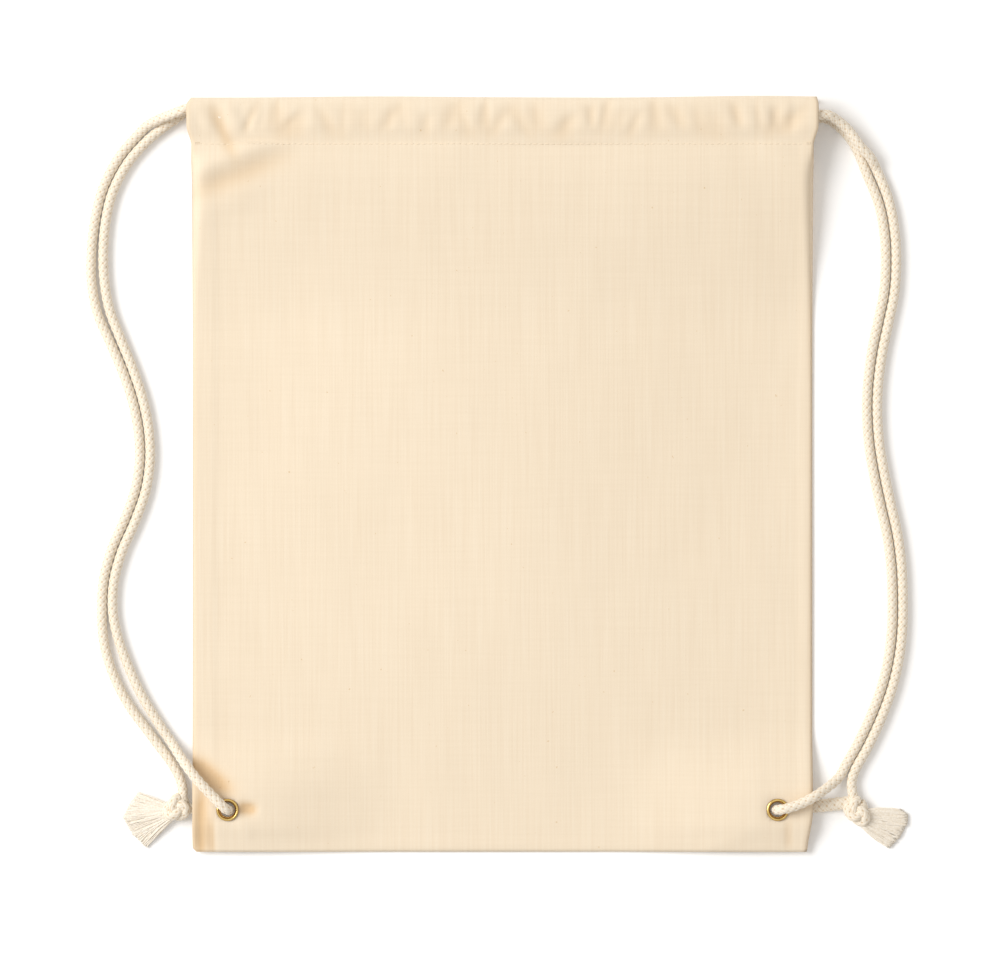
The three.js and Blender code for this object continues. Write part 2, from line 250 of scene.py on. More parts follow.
def cord_material():
    """Braided cotton: light strands with fine fibres; painted shade, tan where they pass under each other
    and between their plies, and dark brown in the braid's holes.
    """
    n = Nodes("cord", roughness=0.9, sheen=0.25)
    # Painted shade from the braid's height: dark in its holes, tan where a strand passes under.
    depth = n.ramp(n.attribute("ridge"), [(0.19, CORD_HOLE_SHADE), (0.31, CORD_SHADE), (0.64, CORD_LIGHT)])
    fibres = n.ramp(n.noise((1900, 1900, 1900), detail=3.0), [(0.3, FIBRE_SHADE), (0.65, WHITE)])
    # Painted shade in the grooves between the plies.
    plies = n.ramp(n.attribute("yarn"), [(0.02, PLY_SHADE), (0.34, WHITE)])
    n.color(n.multiply(depth, fibres, plies))
    n.bump(n.attribute("yarn"), 0.16 * MM, 0.7)
    n.bump(n.noise((2400, 2400, 2400), detail=3.0), 0.12 * MM, 0.5)
    return n.material


def yarn_material():
    """The frayed yarns of the tassels."""
    n = Nodes("tassel_yarn", roughness=0.92, sheen=0.3)
    n.color(n.ramp(n.noise((900, 900, 900), detail=3.0), [(0.3, YARN_SHADE), (0.62, YARN_LIGHT)]))
    n.bump(n.noise((3200, 3200, 3200), detail=2.0), 0.08 * MM, 0.6)
    return n.material


def thread_material():
    """Thread of nearly the cloth's colour, with painted shade where it goes down into its holes."""
    n = Nodes("sewing_thread", roughness=0.7, sheen=0.2)
    n.color(n.ramp(n.attribute("dip"), [(0.35, THREAD_LIGHT), (0.85, THREAD_SHADE)]))
    n.bump(n.noise((1500, 5200, 3000), detail=1.0), 0.05 * MM, 0.6)
    return n.material


def brass_material():
    """Polished gold-coloured brass with faint turning lines: a painted highlight along the bead's top and
    painted shade on the bead's sides.
    """
    n = Nodes("brass", roughness=0.20, metallic=0.85)
    # Painted highlight along the bead's top, painted shade on its sides.
    painted_light_color = n.ramp(n.attribute("polish"), [(0.15, BRASS_PAINTED_SHADE), (0.55, BRASS_DEEP), (0.95, BRASS_PAINTED_HIGHLIGHT)])
    patches = n.ramp(n.noise((300, 300, 300), detail=3.0), [(0.3, BRASS_DULL), (0.6, WHITE)])
    n.color(n.multiply(painted_light_color, patches))
    n.bump(n.noise((2200, 2200, 300), detail=1.0), 0.01 * MM, 0.35)
    return n.material


def floor_material():
    """Plain matt white, with a faint glow of its own that keeps the shadows on it light."""
    n = Nodes("floor", roughness=0.9)
    n.shader.inputs["Base Color"].default_value = (*FLOOR_WHITE, 1)
    n.shader.inputs["Emission Color"].default_value = (*FLOOR_GLOW, 1)
    n.shader.inputs["Emission Strength"].default_value = 0.06
    n.shader.inputs["Specular IOR Level"].default_value = 0.1
    return n.material


# ---------- Mesh helpers ----------
def ease(value, start, end):
    """0 before `start`, 1 after `end`, smooth between; `start` may be the larger."""
    t = np.clip((value - start) / (end - start), 0, 1)
    return t * t * (3 - 2 * t)


def mesh_object(name, vertices, faces, material):
    """A smooth-shaded mesh in the scene."""
    data = bpy.data.meshes.new(name)
    data.from_pydata([tuple(v) for v in vertices], [], [tuple(int(i) for i in f) for f in faces])
    data.validate()
    data.update()
    data.materials.append(material)
    data.polygons.foreach_set("use_smooth", [True] * len(data.polygons))
    piece = bpy.data.objects.new(name, data)
    bpy.context.scene.collection.objects.link(piece)
    return piece


def mark(piece, label, values):
    """Give each point of a mesh a number that its material reads."""
    layer = piece.data.attributes.new(label, "FLOAT", "POINT")
    layer.data.foreach_set("value", values)


def settle(piece, body, slot, *nodes):
    """Ride a piece on its body in place of its CAD nodes; `slot` is not used."""
    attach(piece, body)
    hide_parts(*nodes)


def apply_modifiers(piece):
    """Turn a piece's modifiers into its mesh."""
    bpy.context.view_layer.objects.active = piece
    piece.select_set(True)
    for modifier in list(piece.modifiers):
        bpy.ops.object.modifier_apply(modifier=modifier.name)
    piece.select_set(False)


def remove_vertices(piece, indices):
    """Take points out of a piece's mesh, with what hangs on them."""
    mesh = bmesh.new()
    mesh.from_mesh(piece.data)
    mesh.verts.ensure_lookup_table()
    bmesh.ops.delete(mesh, geom=[mesh.verts[int(i)] for i in indices], context="VERTS")
    mesh.to_mesh(piece.data)
    mesh.free()


def metres(points):
    """A route's points from millimetres to metres."""
    return np.array(points) * MM


def grid_faces(rows, columns, around=False):
    """Quads over a grid of points, row by row; `around` closes each row into a ring."""
    width = columns if around else columns - 1
    row = np.repeat(np.arange(rows - 1), width)
    column = np.tile(np.arange(width), rows - 1)
    after = (column + 1) % columns
    here = row * columns
    ahead = here + columns
    return np.stack([here + column, here + after, ahead + after, ahead + column], axis=1)


def smooth_path(points, spacing):
    """Points `spacing` apart on a smooth curve through the given points."""
    points = np.array(points, dtype=float)
    gaps = np.sqrt(np.linalg.norm(np.diff(points, axis=0), axis=1))
    knots = np.concatenate([[0], np.cumsum(gaps)])
    slopes = np.gradient(points, knots, axis=0)
    dense = np.linspace(0, knots[-1], 60 * len(points))
    cell = np.clip(np.searchsorted(knots, dense, side="right") - 1, 0, len(points) - 2)
    size = (knots[cell + 1] - knots[cell])[:, None]
    t = ((dense - knots[cell]))[:, None] / size
    curve = (
        (2 * t**3 - 3 * t**2 + 1) * points[cell]
        + (t**3 - 2 * t**2 + t) * size * slopes[cell]
        + (-2 * t**3 + 3 * t**2) * points[cell + 1]
        + (t**3 - t**2) * size * slopes[cell + 1]
    )
    along = np.concatenate([[0], np.cumsum(np.linalg.norm(np.diff(curve, axis=0), axis=1))])
    steps = max(int(round(along[-1] / spacing)), 2)
    even = np.linspace(0, along[-1], steps + 1)
    return np.stack([np.interp(even, along, curve[:, axis]) for axis in range(3)], axis=1)


def path_frames(path):
    """Two directions across the path at each point, carried along it without twisting."""
    tangents = np.gradient(path, axis=0)
    tangents /= np.linalg.norm(tangents, axis=1)[:, None]
    first = np.cross(tangents[0], (0, 0, 1.0))
    if np.linalg.norm(first) < 0.1:
        first = np.cross(tangents[0], (0, 1.0, 0))
    across = np.empty_like(path)
    across[0] = first / np.linalg.norm(first)
    for i in range(1, len(path)):
        carried = across[i - 1] - tangents[i] * np.dot(across[i - 1], tangents[i])
        across[i] = carried / np.linalg.norm(carried)
    return across, np.cross(tangents, across)


def tube_points(path, radius, sides):
    """Rings of points round a path; `radius` is one number, one per ring, or one per point."""
    across, up = path_frames(path)
    angle = np.linspace(0, 2 * math.pi, sides, endpoint=False)
    radius = np.broadcast_to(np.asarray(radius, dtype=float), (len(path), sides))[:, :, None]
    ring = np.cos(angle)[None, :, None] * across[:, None, :] + np.sin(angle)[None, :, None] * up[:, None, :]
    return path[:, None, :] + radius * ring


def capped_tube(points):
    """Vertices and faces of a tube of rings, closed by a fan at each end."""
    rows, sides = points.shape[:2]
    vertices = np.concatenate([points.reshape(-1, 3), [points[0].mean(axis=0)], [points[-1].mean(axis=0)]])
    faces = [tuple(f) for f in grid_faces(rows, sides, around=True)]
    first, last = rows * sides, rows * sides + 1
    for i in range(sides):
        after = (i + 1) % sides
        faces.append((first, after, i))
        faces.append((last, (rows - 1) * sides + i, (rows - 1) * sides + after))
    return vertices, faces


def joined(parts):
    """One list of vertices and one of faces from many."""
    vertices, faces, start = [], [], 0
    for part_vertices, part_faces in parts:
        vertices.extend(part_vertices)
        faces.extend(tuple(i + start for i in face) for face in part_faces)
        start += len(part_vertices)
    return vertices, faces


# ---------- Braided cord ----------
STRANDS = 4
PLIES = 2
BRAID_LEAD = 18.6 * MM
STRAND_HALF_WIDTH = 0.53
STRAND_LEVEL = 0.60
STRAND_SWING = 0.40
CORE_SHARE = 0.80
STRAND_SHARE = 0.24
END_SHARE = 0.86
RIDGE_AT_ENDS = 0.3


def strand_section(distance):
    """The round of a strand across its width, 1 on its middle and 0 past its edges."""
    return np.sqrt(np.clip(1 - (distance / STRAND_HALF_WIDTH) ** 2, 0, 1))


def braid_height(angle, along):
    """Height of a diamond braid's surface, from 0 in its holes to 1, and its yarns' fine ridges."""
    turn = STRANDS / (2 * math.pi)
    right = turn * angle + STRANDS * along / BRAID_LEAD
    left = turn * angle - STRANDS * along / BRAID_LEAD
    right_strand = np.round(right)
    left_strand = np.round(left)
    right_wave = STRAND_SWING * np.cos(math.pi * (left + right_strand))
    left_wave = STRAND_SWING * np.cos(math.pi * (right + left_strand))
    right_height = strand_section(right - right_strand) * (STRAND_LEVEL + right_wave)
    left_height = strand_section(left - left_strand) * (STRAND_LEVEL - left_wave)
    height = np.maximum(right_height, left_height)
    over = right_height > left_height
    across = np.where(over, right - right_strand, left - left_strand)
    yarns = 0.5 - 0.5 * np.cos(2 * math.pi * PLIES * across)
    return height, yarns


def braided_cord(name, path, spacing, sides, material, diameter=CORD_DIAMETER, flatten=0.0):
    """A round braided cord along a route; `flatten` widens it over the ground towards the route's end."""
    path = smooth_path(path, spacing)
    path[:, 2] = np.maximum(path[:, 2], FLOOR_Z * diameter / CORD_DIAMETER)
    along = np.arange(len(path))[:, None] * spacing
    angle = np.linspace(0, 2 * math.pi, sides, endpoint=False)[None, :]
    height, yarns = braid_height(angle, along)
    radius = diameter / 2 * (CORE_SHARE + STRAND_SHARE * height)
    radius[[0, -1]] *= END_SHARE
    points = tube_points(path, radius, sides)
    share = ease(along / along[-1], 0.25, 0.6)[:, :, None] * flatten
    points = path[:, None, :] + (points - path[:, None, :]) * (1 + share * np.array([1, 1, -0.6]))
    vertices, faces = capped_tube(points)
    piece = mesh_object(name, vertices, faces, material)
    # The braid's height and its plies, which the cord's colour turns into painted shade in holes and
    # grooves.
    for label, values in (("ridge", height), ("yarn", yarns)):
        mark(piece, label, np.concatenate([values.ravel(), [RIDGE_AT_ENDS] * 2]))
    return piece, path


# ---------- Cords ----------
# The routes are the CAD model's, in millimetres. strap is the middle line between a strap's two strands,
# with half of their spacing as its third number; swings_past is where the cord has wholly joined the strap.
LEFT = SimpleNamespace(
    name="left", side=-1, lane=219.6, swings_past=0.208, tail_flatten=0.0,
    strap=[
        [-214.6, 201.8, 3.3], [-226.5, 188, 3.2], [-235.8, 170, 3.2], [-240.2, 152, 3.3], [-242, 134, 3.6],
        [-241.7, 116, 3.9], [-238.4, 98, 3.8], [-231.6, 81, 3.4], [-224.1, 63, 3.2], [-218.1, 45, 3.2],
        [-214.5, 27, 3.2], [-213.7, 9, 3.2], [-216.3, -9, 3.2], [-222.6, -27, 3.2], [-230.4, -45, 3.2],
        [-235.2, -63, 3.2], [-236.1, -81, 3.3], [-234, -98, 4.4], [-228.3, -116, 5.1], [-219.7, -134, 4.8],
        [-207.7, -152, 3.9],
    ],
    front_exit=[
        [-184, 219, FRONT_RUN_MM], [-191, 217, 16.7], [-197, 215, 13], [-205, 212.2, 8],
        [-212.2, 208.6, 4.4],
    ],
    back_exit=[
        [-184, 219.2, BACK_RUN_MM], [-190, 216.2, 3.8], [-196.5, 211.8, FLOOR_MM], [-205, 205.6, FLOOR_MM],
    ],
    to_knot=[
        [-204.5, -162.8, FLOOR_MM], [-198, -171.5, FLOOR_MM], [-192.4, -182, FLOOR_MM], [-190.9, -191, 4.4],
        [-192.5, -197, 5],
    ],
    to_eyelet=[
        [-198.5, -158.5, 3.6], [-192.8, -167, 7.5], [-186.5, -175.5, 13], [-180, -183.3, OVER_EYELET_MM],
        [-172.5, -191.2, OVER_EYELET_MM], [-168.2, -195.6, 15], [-164.7, -198.9, 13.6],
        [-163.1, -199.8, 10],
    ],
    behind=[
        [-163.1, -199.8, 9.6], [-164, -199.7, 6], [-168, -199.6, 3.5], [-176, -199.4, FLOOR_MM],
        [-188.5, -199.2, FLOOR_MM],
    ],
    knot_body="bag", knot_centre=(-194.2, -198.6, 5.2), knot_half_sizes=(9.2, 8.4, 5), knot_heading=50,
    knot_turn=0.5,
    neck=[(-203.6, -197.6), (-200.2, -206.0)],
    edge=[(-217.6, -189.6), (-222.4, -197.0), (-226.2, -204.4), (-220.6, -214.4), (-212.6, -222.2)],
    seed=3,
    outer_nodes=["left_strap_outer", "left_cord_to_knot"],
    outer_exit_y=0.2175, outer_length=0.471, inner_exit_y=0.2170, inner_length=0.478,
)

RIGHT = SimpleNamespace(
    name="right", side=1, lane=212.9, swings_past=0.204, tail_flatten=0.32,
    strap=[
        [220.5, 181, 3.2], [227.5, 163.5, 3.2], [231, 146, 3.2], [232, 128, 3.2], [230.9, 109, 3.2],
        [227.3, 91, 3.2], [223.6, 73, 3.2], [221.2, 54, 3.2], [220.7, 37, 3.2], [222, 18, 3.2],
        [225, 0, 3.2], [228.8, -18, 3.2], [232.8, -36, 3.2], [235.1, -54, 3.2], [235.9, -72, 3.2],
        [235.7, -90, 3.2], [234, -107, 3.2], [230.1, -125, 3.2], [223.7, -143, 3.2], [215.4, -161, 3.2],
        [208.2, -174, 3.2],
    ],
    front_exit=[
        [187, 213.9, FRONT_RUN_MM], [193, 214.4, 16], [199, 211.6, 12.4], [206.2, 205.6, 9.9],
        [213.3, 196, 9.6], [219.5, 189.4, 7.3],
    ],
    back_exit=[
        [187, 213.2, BACK_RUN_MM], [193, 212.9, 3.8], [199, 209.6, FLOOR_MM], [205.2, 203.8, FLOOR_MM],
        [211.3, 195, FLOOR_MM],
    ],
    to_knot=[[208.6, -183, FLOOR_MM], [209.2, -191, 4.4], [211.4, -198, 5]],
    to_eyelet=[
        [200.8, -180.6, 4.4], [191.9, -187.6, 10.4], [184.8, -192, 14.6], [177.6, -195.6, OVER_EYELET_MM],
        [170.5, -198.2, OVER_EYELET_MM], [166.4, -199.1, 14.2], [163.4, -199.6, 10.6],
    ],
    behind=[
        [163.4, -199.6, 10.2], [163.9, -199.6, 6.4], [167.8, -199.3, 3.5], [177, -198.4, FLOOR_MM],
        [190, -197.6, FLOOR_MM], [207.5, -195.6, FLOOR_MM],
    ],
    knot_body="right_strap", knot_centre=(211.7, -200.6, 5.2), knot_half_sizes=(10.2, 7.6, 5),
    knot_heading=-62, knot_turn=2.2,
    neck=[(217.9, -201.0), (216.9, -209.2)],
    edge=[(237.6, -199.8), (241.6, -203.0), (241.4, -208.2), (236.6, -216.8), (230.6, -222.6)],
    seed=8,
    outer_nodes=["right_strap_outer"],
    outer_exit_y=0.2140, outer_length=0.452, inner_exit_y=0.2135, inner_length=0.478,
)

INSIDE_MOUTH = 176
LEG_SPACING = 0.5 * MM
LEG_SIDES = 36
RUN_SPACING = 0.8 * MM
RUN_SIDES = 24


def strands(middle, side):
    """The routes of a strap's outer and inner strand, from its middle line."""
    middle = np.array(middle)
    along = np.gradient(middle[:, :2], axis=0)
    along /= np.linalg.norm(along, axis=1)[:, None]
    outward = np.stack([-along[:, 1], along[:, 0]], axis=1) * side * middle[:, 2:]
    floor = np.full((len(middle), 1), FLOOR_MM)
    outer = np.concatenate([middle[:, :2] + outward, floor], axis=1)
    inner = np.concatenate([middle[:, :2] - outward, floor], axis=1)
    return outer.tolist(), inner.tolist()


def free_leg(cord, label, points, material, flatten=0.0):
    """A length of cord outside the bag, which turns from the bag to its strap between two planes."""
    piece, path = braided_cord(
        f"{cord.name}_{label}", metres(points), LEG_SPACING, LEG_SIDES, material, flatten=flatten)
    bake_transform(piece)
    return piece, path


def return_loop(side, lane):
    """The cord's half turn from the front channel's run down to the back channel's."""
    loop_x = 174.5
    radius = (FRONT_RUN_MM - BACK_RUN_MM) / 2
    middle = (FRONT_RUN_MM + BACK_RUN_MM) / 2
    turn = [math.radians(degrees) for degrees in range(90, -91, -30)]
    return [[side * (loop_x + radius * math.cos(a)), lane, middle + radius * math.sin(a)] for a in turn]


def cord_run(cord, material):
    """The length inside both channels, with its half turn at the mouth's other side."""
    far = -cord.side
    start = cord.side * INSIDE_MOUTH
    stops = [start, start + far * 60, 0, far * 120]
    front = [[x, cord.lane, FRONT_RUN_MM] for x in stops]
    back = [[x, cord.lane, BACK_RUN_MM] for x in reversed(stops)]
    route = [*front, *return_loop(far, cord.lane), *back]
    piece, _ = braided_cord(f"{cord.name}_cord_inside", metres(route), RUN_SPACING, RUN_SIDES, material)
    settle(piece, "bag", "cord", f"{cord.name}_cord_run")


def knot(cord, material):
    """An overhand knot drawn tight: turns of the same cord pressed into a lump with no hole."""
    cord_radius = 3.0
    ring_radius = 3.3
    ring_swing = 2.1
    opening = 0.05
    t = np.linspace(opening, 2 * math.pi - opening, 90)
    distance = ring_radius + ring_swing * np.cos(3 * t)
    round_turn = 2 * t + cord.knot_turn
    local = np.stack([distance * np.cos(round_turn), distance * np.sin(round_turn), np.sin(3 * t)], axis=1)
    local *= (np.array(cord.knot_half_sizes) - cord_radius) / np.abs(local).max(axis=0)
    angle = math.radians(cord.knot_heading)
    centre = cord.knot_centre
    route = np.stack([
        centre[0] + local[:, 0] * math.cos(angle) - local[:, 1] * math.sin(angle),
        centre[1] + local[:, 0] * math.sin(angle) + local[:, 1] * math.cos(angle),
        centre[2] + local[:, 2],
    ], axis=1)
    piece, _ = braided_cord(
        f"{cord.name}_overhand_knot", metres(route), LEG_SPACING, 32, material, 2 * cord_radius * MM)
    settle(piece, cord.knot_body, "cord", f"{cord.name}_knot")
    return piece


# ---------- Tassels ----------
YARNS = 560
YARN_SIDES = 5
YARN_THICK = 0.40
YARN_THIN = 0.30
YARN_ROOT = 5


def yarn(rng, share, neck, edge, inwards):
    """One frayed yarn from the knot's neck to the tassel's edge; `share` is its place across both."""
    level = rng.uniform(0, 1)
    mixed = float(np.clip(share + rng.normal(0, 0.035), 0, 1))
    place = 0.5 + 0.8 * (share - 0.5) + rng.normal(0, 0.03)
    start = neck[0] + (neck[1] - neck[0]) * place - inwards * YARN_ROOT
    stops = np.linspace(0, 1, len(edge))
    end = np.array([np.interp(mixed, stops, edge[:, axis]) for axis in (0, 1)])
    end = start + (end - start) * (1.03 - 0.13 * rng.random() ** 1.6)
    steps = np.linspace(0, 1, 12)
    line = start + (end - start) * steps[:, None]
    across = np.array([-(end - start)[1], (end - start)[0]]) / np.linalg.norm(end - start)
    sway = rng.normal(0, 0.45) * np.sin(math.pi * steps)
    sway = sway + 0.14 * np.sin(steps * rng.uniform(12, 20)) * steps
    flare = -0.9 * (share - 0.5) * np.sin(math.pi * steps)
    line = line + (sway + flare)[:, None] * across
    z = 0.5 + (1.4 + 3.9 * level) * (1 - steps) ** 0.9 + 1.6 * level * steps
    line = smooth_path(metres(np.column_stack([line, z])), 1.5 * MM)
    taper = np.linspace(YARN_THICK, YARN_THIN, len(line))[:, None] * MM
    return capped_tube(tube_points(line, taper, YARN_SIDES))


def tassel(cord, material):
    """Both cord ends frayed below the knot: a broom of yarns from the neck to an uneven edge."""
    rng = np.random.default_rng(cord.seed)
    neck = np.array(cord.neck, dtype=float)
    edge = np.array(cord.edge, dtype=float)
    inwards = edge.mean(axis=0) - neck.mean(axis=0)
    inwards /= np.linalg.norm(inwards)
    yarns = [yarn(rng, (i + 0.5) / YARNS, neck, edge, inwards) for i in range(YARNS)]
    piece = mesh_object(f"{cord.name}_frayed_end", *joined(yarns), material)
    settle(piece, f"{cord.name}_tassel", "tassel", f"{cord.name}_tassel")
    return piece


def whole_cord(cord, cord_look, yarn_look):
    """One side's cord: two strands, the tail behind the bag, their knot and tassel, and the run inside."""
    start_x = cord.side * (INSIDE_MOUTH - 0.3)
    front_start = [start_x, cord.lane, FRONT_RUN_MM]
    back_start = [start_x, cord.lane, BACK_RUN_MM]
    to_outer, to_inner = strands(cord.strap, cord.side)
    outer, outer_path = free_leg(
        cord, "outer_strand", [front_start, *cord.front_exit, *to_outer, *cord.to_knot], cord_look)
    inner, inner_path = free_leg(
        cord, "inner_strand", [back_start, *cord.back_exit, *to_inner, *cord.to_eyelet], cord_look)
    tail, _ = free_leg(cord, "tail", cord.behind, cord_look, cord.tail_flatten)
    lump = knot(cord, cord_look)
    fray = tassel(cord, yarn_look)
    cord_run(cord, cord_look)
    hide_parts(*cord.outer_nodes)
    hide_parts(f"{cord.name}_strap_inner", f"{cord.name}_cord_to_eyelet")


# ---------- Folds in the cloth ----------
# Each fold: where it starts, where it ends, its half width, and its height, below zero for a valley; in
# millimetres.
MOUTH_FOLDS = [
    ((-172, 217), (-159, 188), 3.6, -1.9),
    ((-182, 214), (-178, 198), 2.4, -0.6),
    ((-170, 222), (-162, 205), 3.0, -0.9),
    ((-156, 219), (-149, 200), 3.6, -0.9),
    ((-141, 220), (-146, 203), 2.6, -0.7),
    ((160, 219), (168, 200), 3.0, -0.7),
    ((174, 222), (171, 198), 2.4, -0.7),
]
# These folds' valleys also get painted shade in the canvas's colour.
SHADE_PAINTED_FOLDS = [
    ((-172, 217), (-159, 188), 3.6, -1.0),
    ((-182, 168), (-128, 190), 6.5, -0.7),
    ((-180.0, -226), (-179.5, -188), 3.8, -2.2),
    ((-173.4, -226), (-173.8, -204), 1.9, -1.2),
    ((-157.5, -198.6), (-147.0, -199.6), 3.4, -2.6),
    ((-184, -171), (-162, -190), 5.2, -2.2),
    ((171, -222), (170, -206), 2.4, -0.6),
]
PLAIN_FOLDS = [
    ((-188, 178), (-130, 202), 7.0, 2.6),
    ((-184, 156), (-140, 172), 9.0, 0.8),
    ((183, 180), (150, 198), 7.0, 0.7),
    ((-150, -216), (-158, -206), 3.6, 0.5),
    ((120, -224), (150, -214), 5.0, 0.5),
]
SIDE_ALLOWANCE_LEFT = (0.1700, 0.1730)
SIDE_ALLOWANCE_RIGHT = (0.1765, 0.1795)
BOTTOM_ALLOWANCE = (BOTTOM + 8.5 * MM, BOTTOM + 6.5 * MM)
CHANNEL_TOP_WAVE = 0.42 * MM


def waves(x, y, size, seed, stretch=1.0):
    """Soft ripples about `size` metres long, between about -1 and 1; `stretch` draws them out along Y."""
    rng = np.random.default_rng(seed)
    total = np.zeros_like(x)
    count = 9
    for _ in range(count):
        angle = rng.uniform(0, math.pi)
        length = size * rng.uniform(0.7, 1.6)
        phase = rng.uniform(0, 2 * math.pi)
        place = x * math.cos(angle) + y / stretch * math.sin(angle)
        total += np.sin(2 * math.pi * place / length + phase)
    return total / math.sqrt(count)


def fold(x, y, start, end, width, height):
    """A soft ridge in the cloth along a line between two points, dying out at both ends; in millimetres."""
    ax, ay = start[0] * MM, start[1] * MM
    dx, dy = end[0] * MM - ax, end[1] * MM - ay
    length = math.hypot(dx, dy)
    along = ((x - ax) * dx + (y - ay) * dy) / length
    across = ((x - ax) * dy - (y - ay) * dx) / length
    ends = ease(along, -0.25 * length, 0.25 * length) * ease(along, 1.25 * length, 0.6 * length)
    return height * MM * np.exp(-((across / (width * MM)) ** 2)) * ends


def add_folds(total, x, y, folds):
    """A height over the sheet with some folds added to it."""
    for start, end, width, height in folds:
        total = total + fold(x, y, start, end, width, height)
    return total


def gathers(x, y):
    """Valleys across the channel where the cloth is bunched, fading out a little below the stitching."""
    rng = np.random.default_rng(34)
    total = np.zeros_like(x)
    centre = -0.150
    last_centre = 0.176
    while centre < last_centre:
        width = rng.uniform(2.4, 6.0) * MM
        lean = rng.uniform(-0.55, 0.55)
        flare = rng.uniform(-0.45, 0.75)
        middle = STITCH_Y + rng.uniform(9, 17) * MM
        half = rng.uniform(8, 13) * MM
        share = (y - middle) / half
        spread = width * np.clip(1 - flare * share, 0.35, 2.0)
        fade = ease(np.abs(share), 1.25, 0.2)
        depth = rng.uniform(0.45, 1.0)
        total += depth * fade * np.exp(-(((x - centre) - lean * (y - middle)) / spread) ** 2)
        centre += rng.uniform(6, 17) * MM
    return total


def wrinkles(x, y):
    """All relief of the panel: soft waves, gathers, folds, and the edges of the allowances sewn inside."""
    quiet = ease(np.hypot(np.abs(x) - EYELET_X, y - EYELET_Y), 0.007, 0.0105)
    soft = 0.26 * waves(x, y, 0.110, 5, 1.6)
    soft = soft + 0.07 * waves(x, y, 0.040, 6, 1.8)
    soft = soft + 0.02 * waves(x, y, 0.014, 7, 2.2)
    total = soft * MM - 0.25 * MM * gathers(x, y)
    total += add_folds(0, x, y, SHADE_PAINTED_FOLDS)
    total = add_folds(total, x, y, PLAIN_FOLDS)
    total += 0.30 * MM * ease(-x, *SIDE_ALLOWANCE_LEFT)
    total += 0.30 * MM * ease(x, *SIDE_ALLOWANCE_RIGHT)
    total += 0.20 * MM * ease(y, *BOTTOM_ALLOWANCE)
    return total * quiet


# ---------- Shape of the bag ----------
STITCH_RISE = 1.5 * MM
DROP_START = -0.207
CORNER_ACROSS = (0.062, 0.155)
CORNER_ALONG = (-0.150, -0.192)
BACK_MOUTH_ALONG = (0.168, 0.188)
PUFF_HALF_WIDTH = 0.168
PUFF_ALONG = (-0.210, -0.080)
FRONT_MOUTH_ALONG = (0.085, 0.192)
CLOTHS_APART = 1.4
PUFF_HEIGHT = 5.4
LOWEST_FRONT = 0.92 * MM
LOWEST_BACK = 0.32 * MM
FRONT_OVER_BACK = 0.58 * MM
HALF_CLOTH = CLOTH / 2 + 0.05 * MM


def back_height(x, y):
    """The back cloth over the ground: flat, but lifted at the eyelet corners and at its channel."""
    drop = 1 - 0.6 * ease(y, DROP_START, BOTTOM)
    corner = CORNER_LIFT * drop * ease(np.abs(x), *CORNER_ACROSS) * ease(y, *CORNER_ALONG)
    channel = (BACK_RUN_Z - 0.3 * MM) * ease(y, *BACK_MOUTH_ALONG)
    return np.maximum(corner, channel) + 0.3 * MM


def front_height(x, y):
    """The front cloth over the ground: a low crown that rises to the front channel."""
    puff = np.clip(1 - (x / PUFF_HALF_WIDTH) ** 2, 0, 1) ** 1.5 * ease(y, *PUFF_ALONG)
    closed = back_height(x, y) + (CLOTHS_APART + PUFF_HEIGHT * puff) * MM
    return closed + (FRONT_RUN_Z + STITCH_RISE - closed) * ease(y, *FRONT_MOUTH_ALONG)


def half_width(y, side):
    """Distance from the middle to an edge; it flares to the mouth and narrows at the bottom right."""
    flare = (MOUTH_X - HALF_WIDTH - 0.2 * MM) * ease(y, STITCH_Y - 1 * MM, STITCH_Y + 11 * MM)
    taper = 3.0 * MM * ease(y, -0.200, BOTTOM) * np.where(side > 0, 1, 0)
    above = np.clip((y - BOTTOM) / (3.5 * MM), 0, 1)
    round_corner = np.where(side > 0, 0.5, 2.4) * MM * (1 - np.sqrt(1 - (1 - above) ** 2))
    top = np.where(side > 0, 0.9, 2.4) * MM * ease(y, TOP - 5 * MM, TOP)
    return HALF_WIDTH + flare - taper - round_corner - top


def seam_roll(x, y, half_gap):
    """How far the cloth has risen from its sewn edges: 0 at a seam, 1 inside and all over the mouth."""
    pinch_width = 1.2 * MM + 0.8 * half_gap
    roll = np.minimum(HALF_WIDTH - np.abs(x), y - BOTTOM) / pinch_width
    roll = np.sqrt(np.clip(1 - (1 - np.clip(roll, 0, 1)) ** 2, 0, 1))
    return roll + (1 - roll) * ease(y, STITCH_Y - 22 * MM, STITCH_Y - 1 * MM)


def panel_height(x, y, flat_x, is_front):
    """The height of the front or the back cloth; `flat_x` is x before the edges were shaped."""
    front, back = front_height(flat_x, y), back_height(flat_x, y)
    middle = (front + back) / 2
    roll = seam_roll(flat_x, y, (front - back) / 2)
    creases = wrinkles(x, y) * (0.25 + 0.75 * roll)
    z = middle + np.maximum((front - middle) * roll, HALF_CLOTH) + creases
    z = np.maximum(z, LOWEST_FRONT)
    if is_front:
        return z
    uneven = 0.25 * MM * (1 + waves(x, y, 0.07, 9)) * ease(back, 0.31 * MM, 0.9 * MM)
    under = middle + np.minimum((back - middle) * roll, -HALF_CLOTH) + uneven
    return np.maximum(np.minimum(under, z - FRONT_OVER_BACK), LOWEST_BACK)


